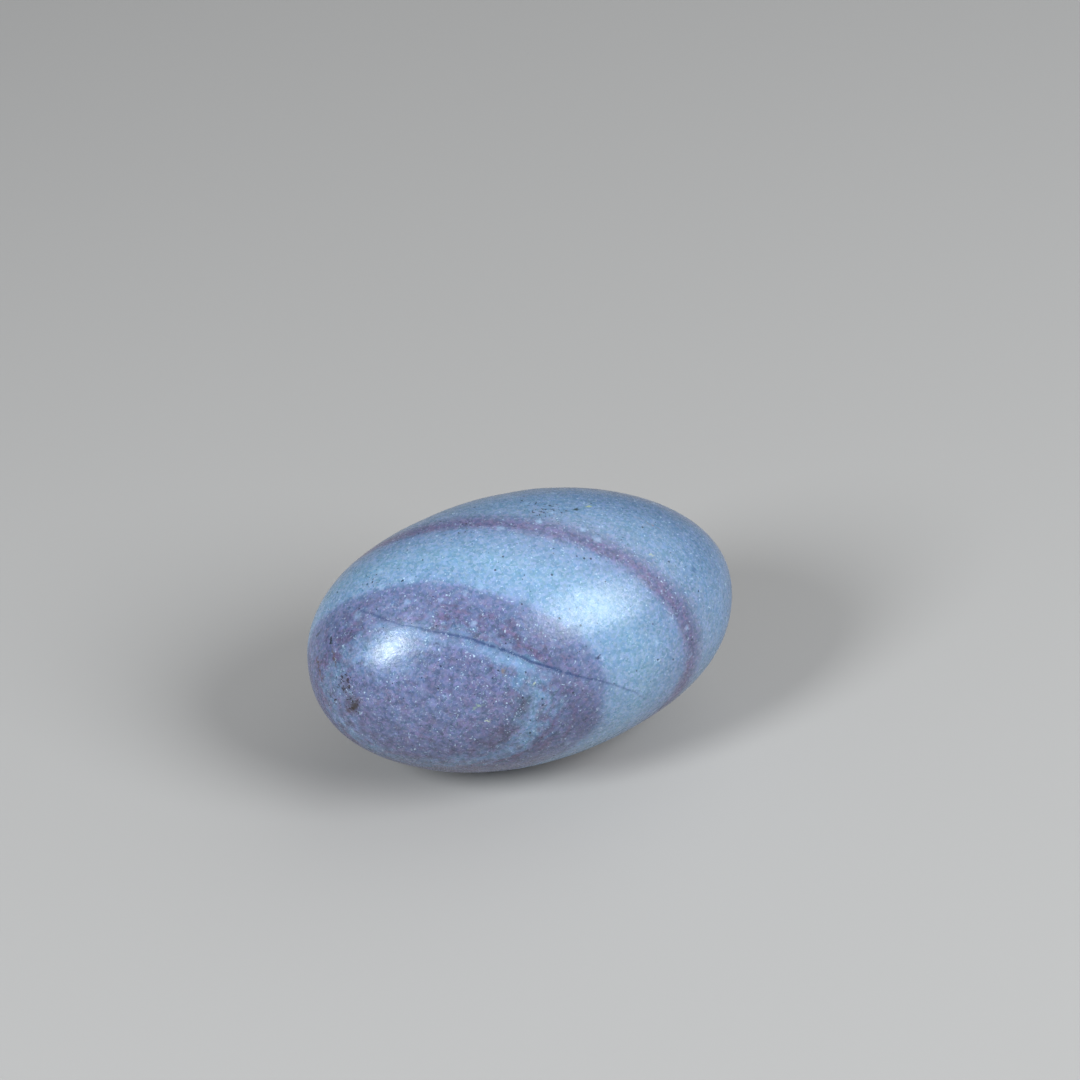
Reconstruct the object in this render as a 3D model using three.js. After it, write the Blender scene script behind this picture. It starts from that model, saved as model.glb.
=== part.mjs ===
// A shiva lingam stone: a river pebble of banded, fine-grained quartz rock, rubbed by hand to an
// egg-long form and a satin polish. It is one solid piece. It lies on its side, on a small spot
// that wear has flattened, and an old hairline fissure runs slantwise along its front.
// Millimetres, +Z up, long axis along X. The origin is at the centre of the base.
import * as THREE from "three";

const { lerp, degToRad, clamp, smoothstep } = THREE.MathUtils;

// The stone's driving sizes: an ellipsoid a little lower than it is wide.
const LENGTH = 50;
const WIDTH = 31.4;
const HEIGHT_TO_WIDTH = 0.955;
const HALF = new THREE.Vector3(LENGTH / 2, WIDTH / 2, (WIDTH * HEIGHT_TO_WIDTH) / 2);

// How deep the flat spot that it rests on is worn.
const REST_WEAR = 0.15;

// Low swells and flats left by the river and the rubbing. Each points from the stone's centre
// toward its place on a unit ball, rises (or sinks) by so much, and fades out over SWELL_SPREAD.
const SWELL_SPREAD = 0.34;
const SWELLS = [
  { toward: [-0.98, 0.21, 0.03], rise: -0.6 }, // the left end, worn blunt
  { toward: [-0.85, 0.44, 0.3], rise: 0.53 }, // the shoulder behind it
  { toward: [0.96, -0.28, 0.01], rise: -0.29 }, // the right end
  { toward: [0.96, -0.05, 0.27], rise: 0.45 }, // the crown of the right end
  { toward: [0.82, -0.51, -0.27], rise: 0.19 }, // the right end's low front
  { toward: [0.39, -0.7, -0.61], rise: -0.31 }, // a flat low on the front
  { toward: [-0.25, 0.85, -0.45], rise: -0.35 }, // a flat low on the back
  { toward: [0.5, 0.8, -0.2], rise: 0.3 }, // a swell on the back
];

// The skin is laid out in rings of latitude around the fracture's pole, which is the fracture's
// normal seen on the unit ball. Longitude 0 is the front, and it grows toward the right.
const POLE = new THREE.Vector3(0.697, 0.429, 0.574).normalize();
const FRONT = new THREE.Vector3(0, -1, 0).projectOnPlane(POLE).normalize();
const SIDE = new THREE.Vector3().crossVectors(POLE, FRONT);

// The fissure keeps to one latitude but for a slight waver, so many waves to the whole ring. It
// tapers out at both ends.
const FISSURE_LATITUDE = degToRad(-12);
const FISSURE_WAVER = degToRad(0.75);
const FISSURE_WAVES = 7;
const FISSURE_CREST = degToRad(4);
const FISSURE_START = degToRad(-95);
const FISSURE_END = degToRad(26);
const FISSURE_HALF_WIDTH = 0.2;
const FISSURE_TIP_SHARE = 0.4;
const FISSURE_DEPTH = 0.3;

// Rings between the fissure and each pole, and facets around a ring: facets of about FACET.
// Past the fissure's ends the two rings beside it open out to that spacing over SPREAD_OUT.
const RINGS_ABOVE = 24;
const RINGS_BELOW = 18;
const FACETS_AROUND = 108;
const FACET = 1.2;
const SPREAD_OUT = degToRad(40);

// The point of the skin for a direction on the unit ball, sunk by a depth along its normal.
function skinAt(direction, depth = 0) {
  const normal = direction.clone().divide(HALF).normalize();
  let rise = -depth;
  for (const swell of SWELLS) {
    const away = direction.distanceToSquared(new THREE.Vector3(...swell.toward).normalize());
    rise += swell.rise * Math.exp(-away / (2 * SWELL_SPREAD ** 2));
  }
  return direction.clone().multiply(HALF).addScaledVector(normal, rise);
}

function directionAt(latitude, longitude) {
  return new THREE.Vector3()
    .addScaledVector(POLE, Math.sin(latitude))
    .addScaledVector(FRONT, Math.cos(latitude) * Math.cos(longitude))
    .addScaledVector(SIDE, Math.cos(latitude) * Math.sin(longitude));
}

// How open the fissure is at a longitude: 1 in the middle of its run and 0 past its ends.
function fissureOpening(longitude) {
  const share = clamp((longitude - FISSURE_START) / (FISSURE_END - FISSURE_START), 0, 1);
  return Math.sin(Math.PI * share);
}

// One line of the skin from the upper pole to the lower one, without the poles. On its way it
// goes down into the fissure and out again.
function meridian(longitude) {
  const open = fissureOpening(longitude);
  const waver = FISSURE_WAVER * Math.cos(FISSURE_WAVES * (longitude - FISSURE_CREST));
  const valley = FISSURE_LATITUDE + waver;
  const pastEnd = Math.max(FISSURE_START - longitude, longitude - FISSURE_END);
  const halfWidth = FISSURE_HALF_WIDTH * Math.max(open, FISSURE_TIP_SHARE);
  const lip = lerp(halfWidth, FACET, smoothstep(pastEnd, 0, SPREAD_OUT)) / HALF.y;
  const points = [];
  for (let i = 1; i <= RINGS_ABOVE; i++) {
    const latitude = lerp(Math.PI / 2, valley + lip, i / RINGS_ABOVE);
    points.push(skinAt(directionAt(latitude, longitude)));
  }
  points.push(skinAt(directionAt(valley, longitude), FISSURE_DEPTH * open));
  for (let i = 0; i < RINGS_BELOW; i++) {
    const latitude = lerp(valley - lip, -Math.PI / 2, i / RINGS_BELOW);
    points.push(skinAt(directionAt(latitude, longitude)));
  }
  return points;
}

// The whole skin: the meridians side by side, joined to a point at each pole.
function pebbleGeometry() {
  const corners = [];
  for (let i = 0; i < FACETS_AROUND; i++) {
    corners.push(...meridian((2 * Math.PI * i) / FACETS_AROUND - Math.PI));
  }
  const perMeridian = corners.length / FACETS_AROUND;
  const upperPole = corners.push(skinAt(POLE)) - 1;
  const lowerPole = corners.push(skinAt(POLE.clone().negate())) - 1;
  const triangles = [];
  for (let i = 0; i < FACETS_AROUND; i++) {
    const here = i * perMeridian;
    const next = ((i + 1) % FACETS_AROUND) * perMeridian;
    triangles.push(upperPole, here, next);
    for (let j = 0; j < perMeridian - 1; j++) {
      triangles.push(here + j, here + j + 1, next + j);
      triangles.push(next + j, here + j + 1, next + j + 1);
    }
    triangles.push(lowerPole, next + perMeridian - 1, here + perMeridian - 1);
  }
  const geometry = new THREE.BufferGeometry();
  const coordinates = corners.flatMap((corner) => corner.toArray());
  geometry.setAttribute("position", new THREE.Float32BufferAttribute(coordinates, 3));
  geometry.setIndex(triangles);
  return geometry;
}

// Wears off what lies lower than the rest spot, and stands the stone on the origin.
function wearFlatAndStand(geometry) {
  geometry.computeBoundingBox();
  const restHeight = geometry.boundingBox.min.z + REST_WEAR;
  const position = geometry.getAttribute("position");
  for (let i = 0; i < position.count; i++) {
    position.setZ(i, Math.max(position.getZ(i), restHeight));
  }
  geometry.computeBoundingBox();
  const middle = geometry.boundingBox.getCenter(new THREE.Vector3());
  geometry.translate(-middle.x, -middle.y, -restHeight);
}

function makeStone() {
  const geometry = pebbleGeometry();
  wearFlatAndStand(geometry);
  geometry.computeVertexNormals();
  const satinStone = new THREE.MeshStandardMaterial({
    color: "#8ea3b8",
    roughness: 0.4,
    metalness: 0,
  });
  const stone = new THREE.Mesh(geometry, satinStone);
  stone.name = "stone";
  return stone;
}

const shivaLingam = new THREE.Group();
shivaLingam.add(makeStone());

export default shivaLingam;
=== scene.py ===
from math import radians

import bpy
import numpy as np
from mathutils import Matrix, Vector


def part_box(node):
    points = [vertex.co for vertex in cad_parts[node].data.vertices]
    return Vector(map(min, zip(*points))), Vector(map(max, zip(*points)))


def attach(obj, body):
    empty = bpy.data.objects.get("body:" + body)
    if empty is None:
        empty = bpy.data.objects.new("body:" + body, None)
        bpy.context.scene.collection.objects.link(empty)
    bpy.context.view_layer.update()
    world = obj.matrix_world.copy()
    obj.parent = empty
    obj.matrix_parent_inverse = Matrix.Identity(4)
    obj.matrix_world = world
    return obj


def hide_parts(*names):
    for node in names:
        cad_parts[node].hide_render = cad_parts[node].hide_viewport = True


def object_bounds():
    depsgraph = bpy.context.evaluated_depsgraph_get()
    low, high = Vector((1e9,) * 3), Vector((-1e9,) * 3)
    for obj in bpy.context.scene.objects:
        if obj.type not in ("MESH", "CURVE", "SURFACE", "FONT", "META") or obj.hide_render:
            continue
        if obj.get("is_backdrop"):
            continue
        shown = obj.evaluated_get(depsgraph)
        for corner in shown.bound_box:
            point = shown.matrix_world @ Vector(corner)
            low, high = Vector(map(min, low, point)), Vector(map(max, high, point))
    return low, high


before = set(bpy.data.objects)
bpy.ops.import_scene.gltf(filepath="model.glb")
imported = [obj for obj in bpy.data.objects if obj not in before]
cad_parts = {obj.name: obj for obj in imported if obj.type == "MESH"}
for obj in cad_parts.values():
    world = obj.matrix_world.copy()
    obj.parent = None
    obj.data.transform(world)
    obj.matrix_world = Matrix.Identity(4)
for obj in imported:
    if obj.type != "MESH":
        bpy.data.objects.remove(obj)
cad_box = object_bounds()


# The stone's form
# A river pebble of quartz rock, rubbed by hand with grit: an ellipsoid with low swells, and a small
# flat worn under it. An old fracture comes to the skin in front as a fissure, rubbed nearly shut.

HEIGHT_TO_WIDTH = 0.955
HALF_SIZES = np.array([25.0, 15.7, 15.7 * HEIGHT_TO_WIDTH])
REST_WEAR = 0.15

# Each swell or flat points from the centre toward its place on a unit ball, and rises by so much.
# The first six rises were fitted to the outline in the photo. The last two are guessed.
SWELL_SPREAD = 0.34
SWELLS = [
    ((-0.98, 0.21, 0.03), -0.60),  # the left end, worn blunt
    ((-0.85, 0.44, 0.30), 0.53),  # the shoulder behind it
    ((0.96, -0.28, 0.01), -0.29),  # the right end
    ((0.96, -0.05, 0.27), 0.45),  # the crown of the right end
    ((0.82, -0.51, -0.27), 0.19),  # the right end's low front
    ((0.39, -0.70, -0.61), -0.31),  # a flat low on the front
    ((-0.25, 0.85, -0.45), -0.35),  # a flat low on the back
    ((0.50, 0.80, -0.20), 0.30),  # a swell on the back
]

# Hand rubbing leaves the polish very slightly wavy, which only the highlights show.
POLISH_WAVES = 24
POLISH_WAVE_LENGTH = (4.0, 9.0)
POLISH_WAVE_RISE = 0.004
POLISH_WAVE_PHASE = 6.0  # at most, in radians
POLISH_SEED = 7

# The skin is laid out in rings of latitude around the fracture's pole, so that the fissure keeps
# to one ring but for its waver. Longitude 0 is the front, and it grows toward the right.
POLE = np.array([0.697, 0.429, 0.574])
FISSURE_LATITUDE = radians(-12.05)
# Its wavers: so many waves to the whole ring, by so many degrees, and the longitude of a crest.
FISSURE_WAVERS = [(7, 0.75, 4), (23, 0.14, 11), (41, 0.08, 3), (67, 0.05, 0)]
FISSURE_HALF_WIDTH = 0.17
FISSURE_TIP_SHARE = 0.4
FISSURE_DEPTH = 0.05
# How open it is along its run, by longitude in degrees, and where a hard grain bridges it.
FISSURE_RUN = [(-97, 0), (-90, 0.5), (-78, 0.6), (-68, 0.45), (-61, 0.6), (-54, 0.85), (-40, 1.0),
               (-24, 1.0), (-14, 0.85), (-4, 0.55), (8, 0.42), (18, 0.3), (28, 0)]
FISSURE_BRIDGES = [-40.7, -17.5]
BRIDGE_HALF_WIDTH = 0.7
# Just under its lower lip a pale band runs along a part of the run: partly paler rock, and
# partly a painted sheen off the lip.
PALE_BAND_AND_SHEEN_RUN = [(-95, 0), (-75, 0.5), (-50, 0.6), (-38, 1.0), (-26, 0.9), (-15, 0.3), (0, 0)]
PALE_BAND_AND_SHEEN_BELOW, PALE_BAND_AND_SHEEN_REACH = 0.75, 0.55

FACETS_AROUND = 512
FINEST_RING = 0.035
COARSEST_RING = 0.45
RING_GROWTH = 1.25


def unit(vectors):
    return vectors / np.linalg.norm(vectors, axis=-1, keepdims=True)


def skin(direction, sink):
    """The skin's points for directions on the unit ball, sunk along their normals."""
    rise = -sink
    for toward, height in SWELLS:
        away = ((direction - unit(np.array(toward))) ** 2).sum(-1)
        rise = rise + height * np.exp(-away / (2 * SWELL_SPREAD**2))
    chance = np.random.default_rng(POLISH_SEED)
    for _ in range(POLISH_WAVES):
        heading = unit(chance.normal(size=3)) * 2 * np.pi / chance.uniform(*POLISH_WAVE_LENGTH)
        phase = chance.uniform(0, POLISH_WAVE_PHASE)
        rise = rise + POLISH_WAVE_RISE * np.sin(direction * HALF_SIZES @ heading + phase)
    return direction * HALF_SIZES + unit(direction / HALF_SIZES) * rise[..., None]


def ring_distances(reach):
    """Distances from the fissure's ring to the pole, in mm, close together near the fissure."""
    steps = [0.0]
    step = FINEST_RING
    while steps[-1] < reach:
        steps.append(steps[-1] + step)
        step = min(step * RING_GROWTH, COARSEST_RING)
    return np.array(steps) * reach / steps[-1]


pole = unit(POLE)
front = unit(np.array([0.0, -1.0, 0.0]) + pole[1] * pole)
side = np.cross(pole, front)
longitude = np.arange(FACETS_AROUND) / FACETS_AROUND * 2 * np.pi - np.pi
valley = np.full(FACETS_AROUND, FISSURE_LATITUDE)
for waves, reach, crest in FISSURE_WAVERS:
    valley += radians(reach) * np.cos(waves * (longitude - radians(crest)))
opening = np.interp(np.degrees(longitude), *zip(*FISSURE_RUN))
for bridge in FISSURE_BRIDGES:
    opening *= 1 - np.exp(-(((np.degrees(longitude) - bridge) / BRIDGE_HALF_WIDTH) ** 2))
pale_band_and_sheen_along = np.interp(np.degrees(longitude), *zip(*PALE_BAND_AND_SHEEN_RUN))

# Rings above and below the fissure, from pole to pole, without the poles themselves.
above = ring_distances((np.pi / 2 - FISSURE_LATITUDE) * HALF_SIZES[1])[::-1]
below = -ring_distances((np.pi / 2 + FISSURE_LATITUDE) * HALF_SIZES[1])[1:]
distance = np.concatenate([above, below])[1:-1, None]
share = np.where(distance > 0, distance / above[0], distance / below[-1])
latitude = valley + share * (np.where(distance > 0, np.pi / 2, -np.pi / 2) - valley)
direction = (
    np.sin(latitude)[..., None] * pole
    + (np.cos(latitude) * np.cos(longitude))[..., None] * front
    + (np.cos(latitude) * np.sin(longitude))[..., None] * side
)

# The fissure narrows and grows shallow toward its tips, and the pale band with its painted sheen
# keeps just below it.
half_width = FISSURE_HALF_WIDTH * (FISSURE_TIP_SHARE + (1 - FISSURE_TIP_SHARE) * opening)
groove = opening * np.exp(-((distance / half_width) ** 2))
pale_band_and_sheen = pale_band_and_sheen_along * np.exp(-(((distance + PALE_BAND_AND_SHEEN_BELOW) / PALE_BAND_AND_SHEEN_REACH) ** 2))
rings = len(direction)
corners = np.concatenate([
    skin(direction, FISSURE_DEPTH * groove * opening**2).reshape(-1, 3),
    skin(np.array([pole, -pole]), np.zeros(2)),
])
corners[:, 2] = np.maximum(corners[:, 2], corners[:, 2].min() + REST_WEAR)

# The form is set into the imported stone's box, and its centre goes along for the bedding.
low, high = (np.array(corner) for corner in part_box("stone"))
stretch = (high - low) / np.ptp(corners, axis=0)
centre = low - corners.min(0) * stretch
corners = corners * stretch + centre

index = np.arange(rings * FACETS_AROUND).reshape(rings, FACETS_AROUND)
across = np.roll(index, -1, axis=1)
faces = np.stack([index[:-1], index[1:], across[1:], across[:-1]], -1).reshape(-1, 4).tolist()
for i in range(FACETS_AROUND):
    faces.append((rings * FACETS_AROUND, index[0, i], across[0, i]))
    faces.append((rings * FACETS_AROUND + 1, across[-1, i], index[-1, i]))
mesh = bpy.data.meshes.new("stone")
mesh.from_pydata(corners.tolist(), [], faces)
mesh.shade_smooth()

# The material reads how deep in the fissure a point is, and its share of the pale band of painted
# sheen and paler rock. The poles have neither.
for name, amount in (("in_fissure", groove), ("paled_and_sheened", pale_band_and_sheen)):
    attribute = mesh.attributes.new(name, "FLOAT", "POINT")
    attribute.data.foreach_set("value", np.append(amount.ravel(), [0, 0]).astype(np.float32))
stone = bpy.data.objects.new("polished_stone", mesh)
bpy.context.scene.collection.objects.link(stone)


# The rock
# A fine quartz sandstone, jasper-hard, laid down in flat beds and tinted by iron. The pebble cuts
# the beds at a slant, so they show as rings about its front left side. Hand rubbing made it satin.

MM = 0.001

# From the back of the stone to its front: how far each bed lies from the centre, and its colour.
BEDDING = unit(np.array([-0.555, -0.826, 0.10]))
BED_REACH = 20.0
BEDS = [
    (-19.5, "#62708c"),
    (-16.8, "#646e8b"),  # a dim purple bed at the back
    (-15.6, "#647a98"),
    (-12.6, "#647a98"),
    (-11.7, "#64718e"),  # a thinner one before it
    # From here to the thin purple bed the beds show along the top back edge. Their colours are partly their
    # own and partly painted shade along that edge, which is darkest at the back.
    (-10.6, "#607695"),
    (-6.5, "#6b82a2"),
    (-3.0, "#718aa9"),
    (-0.6, "#788ba8"),
    (0.5, "#6f7896"),
    (1.4, "#686687"),  # the thin purple bed
    (2.2, "#6a698a"),
    (3.2, "#7588a9"),
    (7.5, "#7f9cb9"),  # the broad pale one
    (10.3, "#7e97b8"),
    (11.1, "#6d779b"),
    (13.9, "#626284"),  # the broad purple one
    (18.6, "#6c7296"),
]
THIN_BED = 1.9
# The front beds lie a little askew to the others. The lean comes in over this stretch.
ASKEW_FROM, ASKEW_TO = 11.5, 15.0
ASKEW = (0.060, -0.026, 0.060)
# A thin greener bed inside the purple ones shows as a wedge to the right. It grows stronger
# rightward and downward, and the fracture has shifted it by so much on its upper side.
GREEN_BED, GREEN_BED_REACH, GREEN_COLOUR = 15.3, 1.4, "#758faf"
GREEN_BED_OFFSET = 0.9
FRACTURE_BLUR = 0.03
GREEN_RISES_FROM, GREEN_RISES_TO = -9.5, -5.0
GREEN_FALLS_FROM, GREEN_FALLS_TO = 4.0, 8.5
# Iron wisps tint the beds, greener where they are poor and redder where they are rich.
IRON_TINTS = [
    (0.36, (0.95, 1.06, 1.04)),
    (0.5, (1.0, 1.0, 1.0)),
    (0.64, (1.0, 0.83, 0.82)),
]
IRON_CLOSES_GREEN = 2.2
WISP_FLATNESS = (1.5, 1.5, 1.5)

# Sizes of what lies in the rock, in mm, or how many of them lie along a mm.
GRAIN = 0.3
BED_WAVERS = ((12.0, 1.2), (2.5, 0.6), (0.8, 0.55))
FRAYS_PER_MM = 2.5
FRAY_REACH = (0.9, 0.9, 0.9)
WISPS_PER_MM = 0.7
MOTTLES_PER_MM = 1.1
CLOTS_PER_MM = 0.45
FILM_PATCHES_PER_MM = 1.3
SPECKS = ((2.8, 0.7), (4.6, 0.5))
DOTS_PER_MM = (1.4, 2.7)
PITS_PER_MM = 2.6
POLISH_PATCHES_PER_MM = 1.6
GRAIN_BUMP = 0.02
PIT_BUMP = 0.05
# Noise runs from 0 to 1 about this middle.
MIDDLE = 0.5

QUARTZ_SPECK = "#cfe4f6"
QUARTZ_CLOT = "#b4cfee"
# The pale band's colour: paler rock with a painted sheen.
PALE_ROCK_AND_SHEEN, PALE_AND_SHEEN_STRENGTH = "#8fb0d8", 0.32
FISSURE_FILM = "#37466f"
BLACK_GRAIN, DOT_STRENGTH = "#1a2230", 0.75
PIT_SHADE, PIT_STRENGTH = "#2c2328", 0.8
# Of the cells where pits crowd, the share that hold none.
PITLESS_SHARE = 0.3

# The places in the next three tables are in mm from the stone's centre. Most of them were picked
# in the photo and carried over onto the form, and the others were given one by one.
# Dark pits crowd about these places, so far around them and so large.
PITTED = [
    ((-22.8, -5.2, 3.4), 1.9, 0.50),
    ((-22.4, -6.8, 1.2), 1.6, 0.45),
    ((-23.6, -4.6, 0.9), 1.2, 0.40),
    ((-16.8, 1.6, 10.9), 1.8, 0.32),
    ((-6.0, 2.4, 14.3), 3.0, 0.24),
    ((3.5, 1.6, 14.7), 3.4, 0.30),
    ((10.5, -4.5, 12.9), 2.4, 0.18),
]

# Clouds in the rock, some of them partly painted shade and painted glow, and small stains and
# foreign grains. Each is an ellipsoid with its place, how far it reaches along its length and
# across, its strength and its colour. It fades out between these shares of its reach.
SPOT_FADES_FROM, SPOT_FADES_TO = 0.5, 1.35
CLOUDS_AND_PAINTED_LIGHT = [
    ((-18.4, -7.0, 7.2), (3.0, -3.0, 0.2), 2.6, 0.38, "#7f9cc0"),  # pale, at the left: paler rock and a painted glow of the left highlight
    ((-8.8, -14.6, -1.5), (1.8, 0.0, 2.3), 1.7, 0.36, "#463c48"),  # brown, low on the front: a brown tint and painted shade low down
    ((-5.7, -14.9, 2.6), (0.9, 0.0, 2.6), 1.2, 0.42, "#4c4554"),
    ((1.6, -15.4, -1.5), (0.8, 0.0, -3.5), 2.2, 0.44, "#4f4866"),  # maroon, right of them: its own maroon, mostly painted shade low down
    ((-11.0, -10.9, 8.4), (2.5, -1.8, -1.0), 1.0, 0.5, "#67668c"),  # purple, below the fissure
    ((-16.3, -4.6, 10.6), (4.0, -2.0, 1.0), 2.0, 0.22, "#8a9cc2"),  # pale, on the left shoulder: paler rock and a painted glow above the left highlight
    ((-22.4, -6.8, 1.3), (0.5, -0.5, 0.9), 1.1, 0.35, "#5a4a4b"),  # brown, low at the left end
    ((-22.8, -5.4, 3.0), (0.3, -0.6, -1.2), 0.8, 0.35, "#554a58"),  # and dim above it
]
MARKS = [
    ((-22.3, -6.9, 1.4), (0.2, -0.2, 0.8), 0.42, 0.8, "#3a3029"),  # a brown stain
    ((-22.8, -6.2, 0.5), (0.3, -0.4, 0.1), 0.3, 0.55, "#43352f"),
    ((-22.7, -1.0, 6.1), (-0.1, -0.4, -0.4), 0.2, 0.95, "#1f2a28"),  # a dark slot at the left end
    ((-22.9, -2.6, 5.1), (-0.1, -1.1, -0.8), 0.2, 0.7, "#5b4a45"),  # a brown line from it
    ((-24.2, -1.2, 2.7), (-0.1, -1.5, -1.1), 0.18, 0.9, "#4d3c37"),  # a brown line on the end
    ((-23.3, 2.0, 5.0), (0.0, -0.3, 0.5), 0.18, 0.7, "#333a40"),
    ((-7.4, -13.4, 6.5), (0.2, 0.0, 0.3), 0.28, 0.6, "#8a7260"),  # a rusty tint
    ((-10.6, -13.9, 3.0), (0.5, -0.1, 0.2), 0.22, 0.7, "#93a58f"),  # yellow-green grains
    ((-9.6, -14.4, 1.1), (0.3, 0.0, -0.1), 0.16, 0.9, "#b9c2a8"),
    ((-4.4, -14.6, 4.8), (0.3, 0.0, 0.0), 0.14, 0.9, "#b9c2a8"),
    ((8.7, 1.2, 14.0), (0.4, 0.0, -0.1), 0.2, 0.9, "#aab18c"),
    ((13.1, -6.3, 11.3), (0.3, -0.1, -0.2), 0.2, 0.6, "#b4bc98"),
    ((-16.4, -0.4, 11.3), (0.4, 0.0, 0.1), 0.45, 0.3, "#a9c6e6"),  # clots of white quartz
    ((-13.5, -1.8, 12.5), (0.5, -0.3, 0.0), 0.45, 0.28, "#a9c6e6"),
    ((-7.2, -6.3, 13.0), (0.4, -0.2, 0.0), 0.45, 0.28, "#a9c6e6"),
    ((-19.7, -1.5, 9.1), (0.4, -0.3, -0.1), 0.5, 0.3, "#a9c6e6"),
    ((-14.8, -4.0, 11.4), (0.3, 0.0, 0.0), 0.4, 0.28, "#a9c6e6"),
    ((7.4, -4.3, 13.7), (0.4, 0.0, 0.2), 0.5, 0.3, "#b4cfee"),
    ((18.1, -6.9, 8.1), (0.3, 0.0, 0.3), 0.35, 0.5, "#3f5a82"),  # a blue spot to the right
    ((3.5, -14.3, 5.9), (0.4, 0.0, 0.2), 0.16, 0.8, "#26314a"),  # a dash above the fissure
    ((-13.5, -9.2, 9.1), (0.3, 0.0, 0.1), 0.22, 0.6, "#3a4055"),  # a smudge near the left end
    ((7.0, 0.8, 14.4), (0.4, 0.0, 0.0), 0.2, 0.9, "#27332f"),  # dark grains on the back edge
    ((5.9, 0.8, 14.6), (0.3, 0.0, 0.0), 0.2, 0.9, "#27332f"),
    ((15.0, -2.1, 11.9), (0.9, -0.7, -0.5), 0.09, 0.8, "#7d5a52"),  # a red thread
]


def linear(hex_colour):
    """An sRGB hex colour as the linear RGBA that shaders take."""
    channels = np.array([int(hex_colour[i:i + 2], 16) for i in (1, 3, 5)]) / 255
    bright = ((channels + 0.055) / 1.055) ** 2.4
    return (*np.where(channels <= 0.04045, channels / 12.92, bright), 1.0)


def add(material, kind, inputs=None, **settings):
    """Adds a node. An input is a plain value, a socket, or a node whose first output it takes."""
    tree = material.node_tree
    made = tree.nodes.new("ShaderNode" + kind)
    for name, value in settings.items():
        setattr(made, name, value)
    for name, value in (inputs or {}).items():
        if isinstance(value, bpy.types.Node):
            value = value.outputs[0]
        if isinstance(value, bpy.types.NodeSocket):
            tree.links.new(value, made.inputs[name])
        else:
            made.inputs[name].default_value = value
    return made


def lay_stops(ramp, stops):
    """Gives a colour ramp its stops, each a place from 0 to 1 and a linear RGBA colour."""
    elements = ramp.color_ramp.elements
    for number, (at, colour) in enumerate(stops):
        stop = elements[number] if number < 2 else elements.new(at)
        stop.position = at
        stop.color = colour


def spotted(colour, spots):
    """Mixes clouds and marks with frayed edges into the rock's colour, the clouds' painted shade and glow
    too.
    """
    for spot_place, reach, radius, strength, spot_colour in spots:
        reach = Vector(reach)
        in_spot = add(rock, "Mapping", {
            "Vector": frayed,
            "Location": spot_place,
            "Rotation": reach.to_track_quat("X", "Z").to_euler(),
            "Scale": (reach.length, radius, radius),
        }, vector_type="TEXTURE")
        away = add(rock, "VectorMath", {0: in_spot}, operation="LENGTH").outputs["Value"]
        share = add(rock, "MapRange", {
            "Value": away,
            "From Min": SPOT_FADES_TO,
            "From Max": SPOT_FADES_FROM,
            "To Max": strength,
        })
        colour = add(rock, "MixRGB", {0: share, 1: colour, 2: linear(spot_colour)})
    return colour


# Satin-rubbed quartz rock: soft-edged highlights with a fine glitter of grains in them.
rock = bpy.data.materials.new("satin_quartz_rock")
rock.use_nodes = True
rock.node_tree.nodes.clear()

# Where a point lies, in mm from the stone's centre.
from_centre = add(rock, "VectorMath", {
    0: add(rock, "TexCoord").outputs["Object"],
    1: centre,
}, operation="SUBTRACT")
place = add(rock, "VectorMath", {0: from_centre, "Scale": 1 / MM}, operation="SCALE")

# The same with small random shifts, which fray the edge of any spot that is drawn by it.
frays = add(rock, "TexNoise", {"Vector": place, "Scale": FRAYS_PER_MM, "Detail": 2.0})
frays = add(rock, "VectorMath", {
    0: frays.outputs["Color"],
    1: (MIDDLE, MIDDLE, MIDDLE),
}, operation="SUBTRACT")
frayed = add(rock, "VectorMath", {0: frays, 1: FRAY_REACH, 2: place}, operation="MULTIPLY_ADD")

# Grains: each has its own random values.
grain = add(rock, "TexVoronoi", {"Vector": place, "Scale": 1 / GRAIN})
grain_value = add(rock, "SeparateColor", {0: grain.outputs["Color"]})

# The bed that a point is in: its depth along the bedding, wavering, and fuzzy by a grain or two.
depth = add(rock, "VectorMath", {0: place, 1: BEDDING}, operation="DOT_PRODUCT").outputs["Value"]
for wave_length, reach in BED_WAVERS:
    waver = add(rock, "TexNoise", {"Vector": place, "Scale": 1 / wave_length, "Detail": 1.0})
    waver = add(rock, "Math", {0: waver, 1: MIDDLE}, operation="SUBTRACT")
    depth = add(rock, "Math", {0: waver, 1: reach, 2: depth}, operation="MULTIPLY_ADD")
askew = add(rock, "MapRange", {
    "Value": depth,
    "From Min": ASKEW_FROM,
    "From Max": ASKEW_TO,
}, interpolation_type="SMOOTHSTEP")
lean = add(rock, "VectorMath", {0: place, 1: ASKEW}, operation="DOT_PRODUCT").outputs["Value"]
bed = add(rock, "Math", {0: askew, 1: lean, 2: depth}, operation="MULTIPLY_ADD")
bed_share = add(rock, "MapRange", {"Value": bed, "From Min": -BED_REACH, "From Max": BED_REACH})
beds = add(rock, "ValToRGB", {0: bed_share})
lay_stops(beds, [((at + BED_REACH) / (2 * BED_REACH), linear(colour)) for at, colour in BEDS])

# Iron lies in wisps along the beds.
along_beds = add(rock, "VectorMath", {0: BEDDING, "Scale": depth}, operation="SCALE")
flattened = add(rock, "VectorMath", {
    0: along_beds,
    1: WISP_FLATNESS,
    2: place,
}, operation="MULTIPLY_ADD")
iron = add(rock, "TexNoise", {"Vector": flattened, "Scale": WISPS_PER_MM, "Detail": 2.0})

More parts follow.
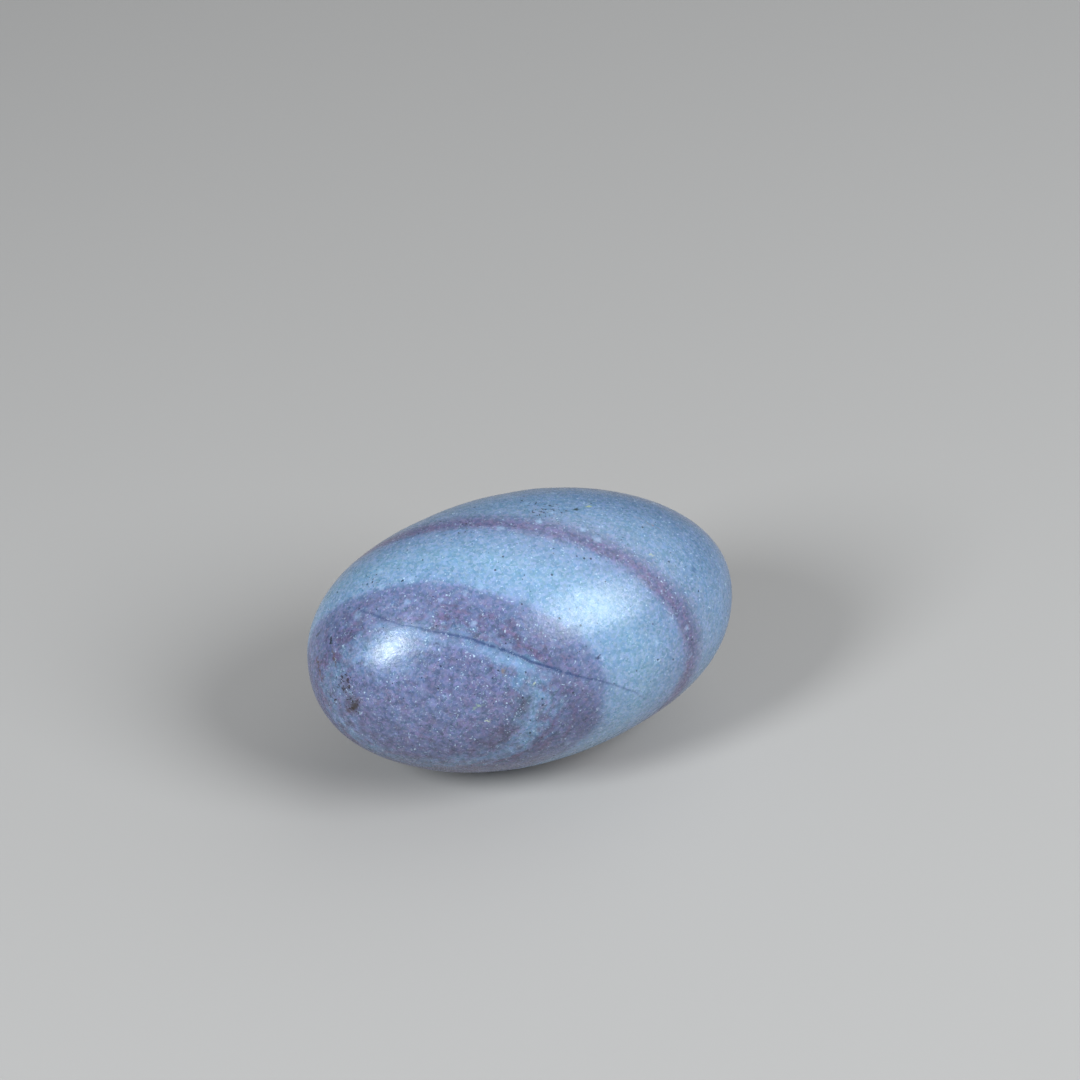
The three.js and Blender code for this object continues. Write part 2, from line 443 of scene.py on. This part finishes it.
# The green bed closes up where the iron is rich. Only its right part is shifted by the fracture,
# which on the unit ball is the plane at the fissure's latitude.
axes = add(rock, "SeparateXYZ", {0: place})
rightward = add(rock, "MapRange", {
    "Value": axes.outputs["X"],
    "From Min": GREEN_RISES_FROM,
    "From Max": GREEN_RISES_TO,
})
height = add(rock, "VectorMath", {0: place, 1: pole / HALF_SIZES}, operation="DOT_PRODUCT")
shift = add(rock, "MapRange", {
    "Value": height.outputs["Value"],
    "From Min": np.sin(FISSURE_LATITUDE),
    "From Max": np.sin(FISSURE_LATITUDE) + FRACTURE_BLUR,
    "To Max": GREEN_BED_OFFSET,
})
offset = add(rock, "Math", {0: shift, 1: rightward, 2: GREEN_BED}, operation="MULTIPLY_ADD")
from_green = add(rock, "Math", {0: bed, 1: offset}, operation="SUBTRACT")
from_green = add(rock, "Math", {0: from_green}, operation="ABSOLUTE")
rich = add(rock, "Math", {0: iron, 1: MIDDLE}, operation="SUBTRACT")
from_green = add(rock, "Math", {
    0: rich,
    1: IRON_CLOSES_GREEN,
    2: from_green,
}, operation="MULTIPLY_ADD")
green_share = add(rock, "MapRange", {
    "Value": from_green,
    "From Min": GREEN_BED_REACH,
    "From Max": 0.2,
})
green_right = add(rock, "MapRange", {"Value": rightward, "To Min": 0.5, "To Max": 0.75})
green_down = add(rock, "MapRange", {
    "Value": axes.outputs["Z"],
    "From Min": GREEN_FALLS_TO,
    "From Max": GREEN_FALLS_FROM,
    "To Min": 0.85,
    "To Max": 1.0,
})
green_most = add(rock, "Math", {0: green_right, 1: green_down}, operation="MULTIPLY")
green_share = add(rock, "Math", {0: green_share, 1: green_most}, operation="MULTIPLY")
bedded = add(rock, "MixRGB", {0: green_share, 1: beds, 2: linear(GREEN_COLOUR)})

# The iron tints the purple beds fully and the others little, and is calmer in the innermost.
in_purple = add(rock, "MapRange", {
    "Value": bed,
    "From Min": 11.0,
    "From Max": 13.0,
    "To Min": 0.15,
    "To Max": 1.0,
})
from_thin_bed = add(rock, "Math", {0: bed, 1: THIN_BED}, operation="SUBTRACT")
from_thin_bed = add(rock, "Math", {0: from_thin_bed}, operation="ABSOLUTE")
in_thin_bed = add(rock, "MapRange", {
    "Value": from_thin_bed,
    "From Min": 1.3,
    "From Max": 0.4,
    "To Max": 0.65,
})
in_purple = add(rock, "Math", {0: in_purple, 1: in_thin_bed}, operation="MAXIMUM")
tints = add(rock, "ValToRGB", {0: iron})
lay_stops(tints, [(at, (*tint, 1.0)) for at, tint in IRON_TINTS])
rusted = add(rock, "VectorMath", {0: bedded, 1: tints}, operation="MULTIPLY")
calmer = add(rock, "MapRange", {
    "Value": bed,
    "From Min": 14.5,
    "From Max": 16.5,
    "To Min": 1.0,
    "To Max": 0.6,
})
wisp_share = add(rock, "Math", {0: in_purple, 1: calmer}, operation="MULTIPLY")
tinted = add(rock, "MixRGB", {0: wisp_share, 1: bedded, 2: rusted})
# The clouds bring painted shade low on the front and a painted glow at the left.
clouded_and_painted_light = spotted(tinted, CLOUDS_AND_PAINTED_LIGHT)

# The grains, lighter or darker in mottles of about 1 mm and one by one.
mottles = add(rock, "TexNoise", {
    "Vector": place,
    "Scale": MOTTLES_PER_MM,
    "Detail": 3.0,
    "Roughness": 0.6,
})
mottle_reach = add(rock, "MapRange", {"Value": in_purple, "To Min": 0.3, "To Max": 1.3})
mottles = add(rock, "Math", {0: mottles, 1: MIDDLE}, operation="SUBTRACT")
mottle_light = add(rock, "Math", {0: mottles, 1: mottle_reach, 2: 1.0}, operation="MULTIPLY_ADD")
grain_reach = add(rock, "MapRange", {"Value": in_purple, "To Min": 0.28, "To Max": 0.36})
grain_light = add(rock, "Math", {0: grain_value.outputs[0], 1: MIDDLE}, operation="SUBTRACT")
light = add(rock, "Math", {0: grain_light, 1: grain_reach, 2: mottle_light}, operation="MULTIPLY_ADD")
grain_tint = add(rock, "VectorMath", {
    0: grain.outputs["Color"],
    1: (0.30, 0.0, 0.16),
    2: (0.85, 1.0, 0.92),
}, operation="MULTIPLY_ADD")
grained = add(rock, "VectorMath", {0: clouded_and_painted_light, 1: grain_tint}, operation="MULTIPLY")
mottled = add(rock, "VectorMath", {0: grained, "Scale": light}, operation="SCALE")

# Here and there a pale clot of quartz, up to a mm across and soft at its edge.
clots = add(rock, "TexVoronoi", {"Vector": frayed, "Scale": CLOTS_PER_MM})
clot_value = add(rock, "SeparateColor", {0: clots.outputs["Color"]})
clot_size = add(rock, "MapRange", {
    "Value": clot_value.outputs[0],
    "From Min": 0.5,
    "To Min": 0.02,
    "To Max": 0.28,
})
clot_share = add(rock, "MapRange", {
    "Value": clots.outputs["Distance"],
    "From Min": clot_size,
    "From Max": 0.0,
    "To Max": 0.5,
})
clotted = add(rock, "MixRGB", {0: clot_share, 1: mottled, 2: linear(QUARTZ_CLOT)})

# The pale band under the fissure, partly paler rock and partly painted sheen, and the dark film
# that fills the fissure.
paled_and_sheened = add(rock, "Attribute", attribute_name="paled_and_sheened")
pale_and_sheen_share = add(rock, "Math", {0: paled_and_sheened.outputs["Fac"], 1: PALE_AND_SHEEN_STRENGTH}, operation="MULTIPLY")
pale = add(rock, "MixRGB", {0: pale_and_sheen_share, 1: clotted, 2: linear(PALE_ROCK_AND_SHEEN)})
fissure = add(rock, "Attribute", attribute_name="in_fissure")
fissure_share = add(rock, "MapRange", {
    "Value": fissure.outputs["Fac"],
    "From Max": 0.8,
    "To Max": 0.88,
})
film = add(rock, "TexNoise", {"Vector": place, "Scale": FILM_PATCHES_PER_MM, "Detail": 2.0})
film = add(rock, "MapRange", {
    "Value": film,
    "From Min": 0.35,
    "From Max": 0.6,
    "To Min": 0.75,
    "To Max": 1.0,
})
fissure_share = add(rock, "Math", {0: fissure_share, 1: film}, operation="MULTIPLY")
fissured = add(rock, "MixRGB", {0: fissure_share, 1: pale, 2: linear(FISSURE_FILM)})

# White quartz specks of 0.1 to 0.3 mm, some brighter than others, and most so in the front beds.
specked = fissured
speck_reach = add(rock, "MapRange", {
    "Value": bed,
    "From Min": 13.0,
    "From Max": 16.0,
    "To Min": 1.0,
    "To Max": 1.25,
})
for per_mm, brightest in SPECKS:
    specks = add(rock, "TexVoronoi", {"Vector": frayed, "Scale": per_mm})
    speck_value = add(rock, "SeparateColor", {0: specks.outputs["Color"]})
    speck_size = add(rock, "MapRange", {
        "Value": speck_value.outputs[0],
        "To Min": 0.2,
        "To Max": 0.38,
    })
    speck_edge = add(rock, "Math", {0: speck_size, 1: 0.5}, operation="MULTIPLY")
    speck_dot = add(rock, "MapRange", {
        "Value": specks.outputs["Distance"],
        "From Min": speck_size,
        "From Max": speck_edge,
    })
    speck_light = add(rock, "Math", {0: speck_value.outputs[1], 1: 3.0}, operation="POWER")
    speck_share = add(rock, "Math", {0: speck_dot, 1: speck_light}, operation="MULTIPLY")
    speck_share = add(rock, "Math", {0: speck_share, 1: brightest}, operation="MULTIPLY")
    speck_share = add(rock, "Math", {0: speck_share, 1: speck_reach}, operation="MULTIPLY")
    specked = add(rock, "MixRGB", {0: speck_share, 1: specked, 2: linear(QUARTZ_SPECK)})

# Black grains: small dark dots in two sizes, and pits that crowd about a few places.
dot = 0.0
for per_mm in DOTS_PER_MM:
    dots = add(rock, "TexVoronoi", {"Vector": place, "Scale": per_mm})
    dot_value = add(rock, "SeparateColor", {0: dots.outputs["Color"]})
    dot_size = add(rock, "MapRange", {
        "Value": dot_value.outputs[0],
        "From Min": 0.78,
        "From Max": 1.0,
        "To Max": 0.2,
    })
    in_dot = add(rock, "Math", {0: dots.outputs["Distance"], 1: dot_size}, operation="LESS_THAN")
    dot = add(rock, "Math", {0: in_dot, 1: dot}, operation="MAXIMUM")
pit_cells = add(rock, "TexVoronoi", {"Vector": frayed, "Scale": PITS_PER_MM})
pit_value = add(rock, "SeparateColor", {0: pit_cells.outputs["Color"]})
pit_most = 0.0
for pitted_place, reach, largest in PITTED:
    away = add(rock, "VectorMath", {0: place, 1: pitted_place}, operation="DISTANCE")
    most = add(rock, "MapRange", {
        "Value": away.outputs["Value"],
        "From Min": reach,
        "From Max": reach / 3,
        "To Max": largest,
    })
    pit_most = add(rock, "Math", {0: most, 1: pit_most}, operation="MAXIMUM")
pit_chance = add(rock, "Math", {
    0: pit_value.outputs[0],
    1: PITLESS_SHARE,
}, operation="GREATER_THAN")
pit_size = add(rock, "Math", {0: pit_chance, 1: pit_most}, operation="MULTIPLY")
pit = add(rock, "Math", {0: pit_cells.outputs["Distance"], 1: pit_size}, operation="LESS_THAN")
dot_share = add(rock, "Math", {0: dot, 1: DOT_STRENGTH}, operation="MULTIPLY")
dotted = add(rock, "MixRGB", {0: dot_share, 1: specked, 2: linear(BLACK_GRAIN)})
pit_share = add(rock, "Math", {0: pit, 1: PIT_STRENGTH}, operation="MULTIPLY")
pitted = add(rock, "MixRGB", {0: pit_share, 1: dotted, 2: linear(PIT_SHADE)})
marked = spotted(pitted, MARKS)

# The satin polish: the grains stand a few thousandths of a mm proud, and the pits are holes.
pit_bump = add(rock, "Bump", {"Height": pit, "Distance": PIT_BUMP * MM}, invert=True)
bump_grain = add(rock, "TexNoise", {"Vector": place, "Scale": 1 / GRAIN, "Detail": 2.0})
bump = add(rock, "Bump", {"Height": bump_grain, "Distance": GRAIN_BUMP * MM, "Normal": pit_bump})
polish = add(rock, "TexNoise", {"Vector": place, "Scale": POLISH_PATCHES_PER_MM, "Detail": 3.0})
roughness = add(rock, "MapRange", {
    "Value": polish,
    "From Min": 0.3,
    "From Max": 0.7,
    "To Min": 0.22,
    "To Max": 0.34,
})
shader = add(rock, "BsdfPrincipled", {
    "Base Color": marked,
    "Roughness": roughness,
    "IOR": 1.47,
    "Normal": bump,
})
add(rock, "OutputMaterial", {"Surface": shader})
mesh.materials.append(rock)
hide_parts("stone")
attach(stone, "root")


# The floor
# A wide sheet of pale matt card that the stone lies on. It gives soft shadows and no highlights.
# It lies a hair lower than the stone, so that the two don't share a surface.
FLOOR_REACH = 3.0
FLOOR_GAP = 0.02 * MM
FLOOR_CORNERS = ((-1, -1), (1, -1), (1, 1), (-1, 1))
CARD_COLOUR = "#aea5a1"
floor_mesh = bpy.data.meshes.new("floor")
floor_mesh.from_pydata(
    [(x * FLOOR_REACH, y * FLOOR_REACH, -FLOOR_GAP) for x, y in FLOOR_CORNERS],
    [],
    [(0, 1, 2, 3)],
)
floor = bpy.data.objects.new("floor", floor_mesh)
bpy.context.scene.collection.objects.link(floor)
card = bpy.data.materials.new("pale_matt_card")
card.use_nodes = True
card.node_tree.nodes.clear()
add(card, "OutputMaterial", {"Surface": add(card, "BsdfPrincipled", {
    "Base Color": linear(CARD_COLOUR),
    "Roughness": 0.9,
})})
floor_mesh.materials.append(card)
floor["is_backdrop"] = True


# The light
# A small soft box to the left and a larger one in front, to the right, make the two highlights.
# A wide one overhead and a dim white room fill the shadows.

# Each one's name, the way to it from the stone, its two sizes and its watts.
SOFT_BOXES = [
    ("left_soft_box", (-0.755, -0.255, 0.60), (0.135, 0.20), 2.15),
    ("right_soft_box", (0.48, -0.59, 0.65), (0.29, 0.29), 2.4),
    ("ceiling_soft_box", (0.75, 0.25, 1.0), (0.7, 0.7), 1.0),
]
SOFT_BOX_DISTANCE = 0.5
SOFT_BOX_COLOUR = "#ebf9ff"
ROOM_COLOUR, ROOM_LIGHT = "#e8eef6", 0.12
for name, toward, size, watts in SOFT_BOXES:
    lamp = bpy.data.lights.new(name, "AREA")
    lamp.shape = "ELLIPSE"
    lamp.size, lamp.size_y = size
    lamp.energy = watts
    lamp.color = linear(SOFT_BOX_COLOUR)[:3]
    soft_box = bpy.data.objects.new(name, lamp)
    toward = Vector(toward).normalized()
    soft_box.location = Vector(centre) + toward * SOFT_BOX_DISTANCE
    soft_box.rotation_euler = toward.to_track_quat("Z", "Y").to_euler()
    bpy.context.scene.collection.objects.link(soft_box)
room = bpy.data.worlds.new("white_room")
room.use_nodes = True
room.node_tree.nodes["Background"].inputs["Color"].default_value = linear(ROOM_COLOUR)
room.node_tree.nodes["Background"].inputs["Strength"].default_value = ROOM_LIGHT
bpy.context.scene.world = room
bpy.context.scene.view_settings.view_transform = "Standard"


# The camera
# It looks down on the front through a long lens, from a little to the left. The stone lies below
# the middle of the picture.
CAMERA_AZIMUTH = -22.28
CAMERA_ELEVATION = 38.0
CAMERA_DISTANCE = 448.4 * MM
AIM_RIGHT, AIM_UP = 2.22 * MM, 10.01 * MM
SENSOR_WIDTH, FOCAL_LENGTH = 36, 133.3
lens = bpy.data.cameras.new("camera")
lens.sensor_width = SENSOR_WIDTH
lens.lens = FOCAL_LENGTH
camera = bpy.data.objects.new("camera", lens)
camera.rotation_euler = (radians(90 - CAMERA_ELEVATION), 0, radians(CAMERA_AZIMUTH))
turn = camera.rotation_euler.to_matrix()
camera.location = Vector(centre) + turn @ Vector((AIM_RIGHT, AIM_UP, CAMERA_DISTANCE))
bpy.context.scene.collection.objects.link(camera)
bpy.context.scene.camera = camera

size = {"cad": [list(corner) for corner in cad_box], "visual": [list(corner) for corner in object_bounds()]}
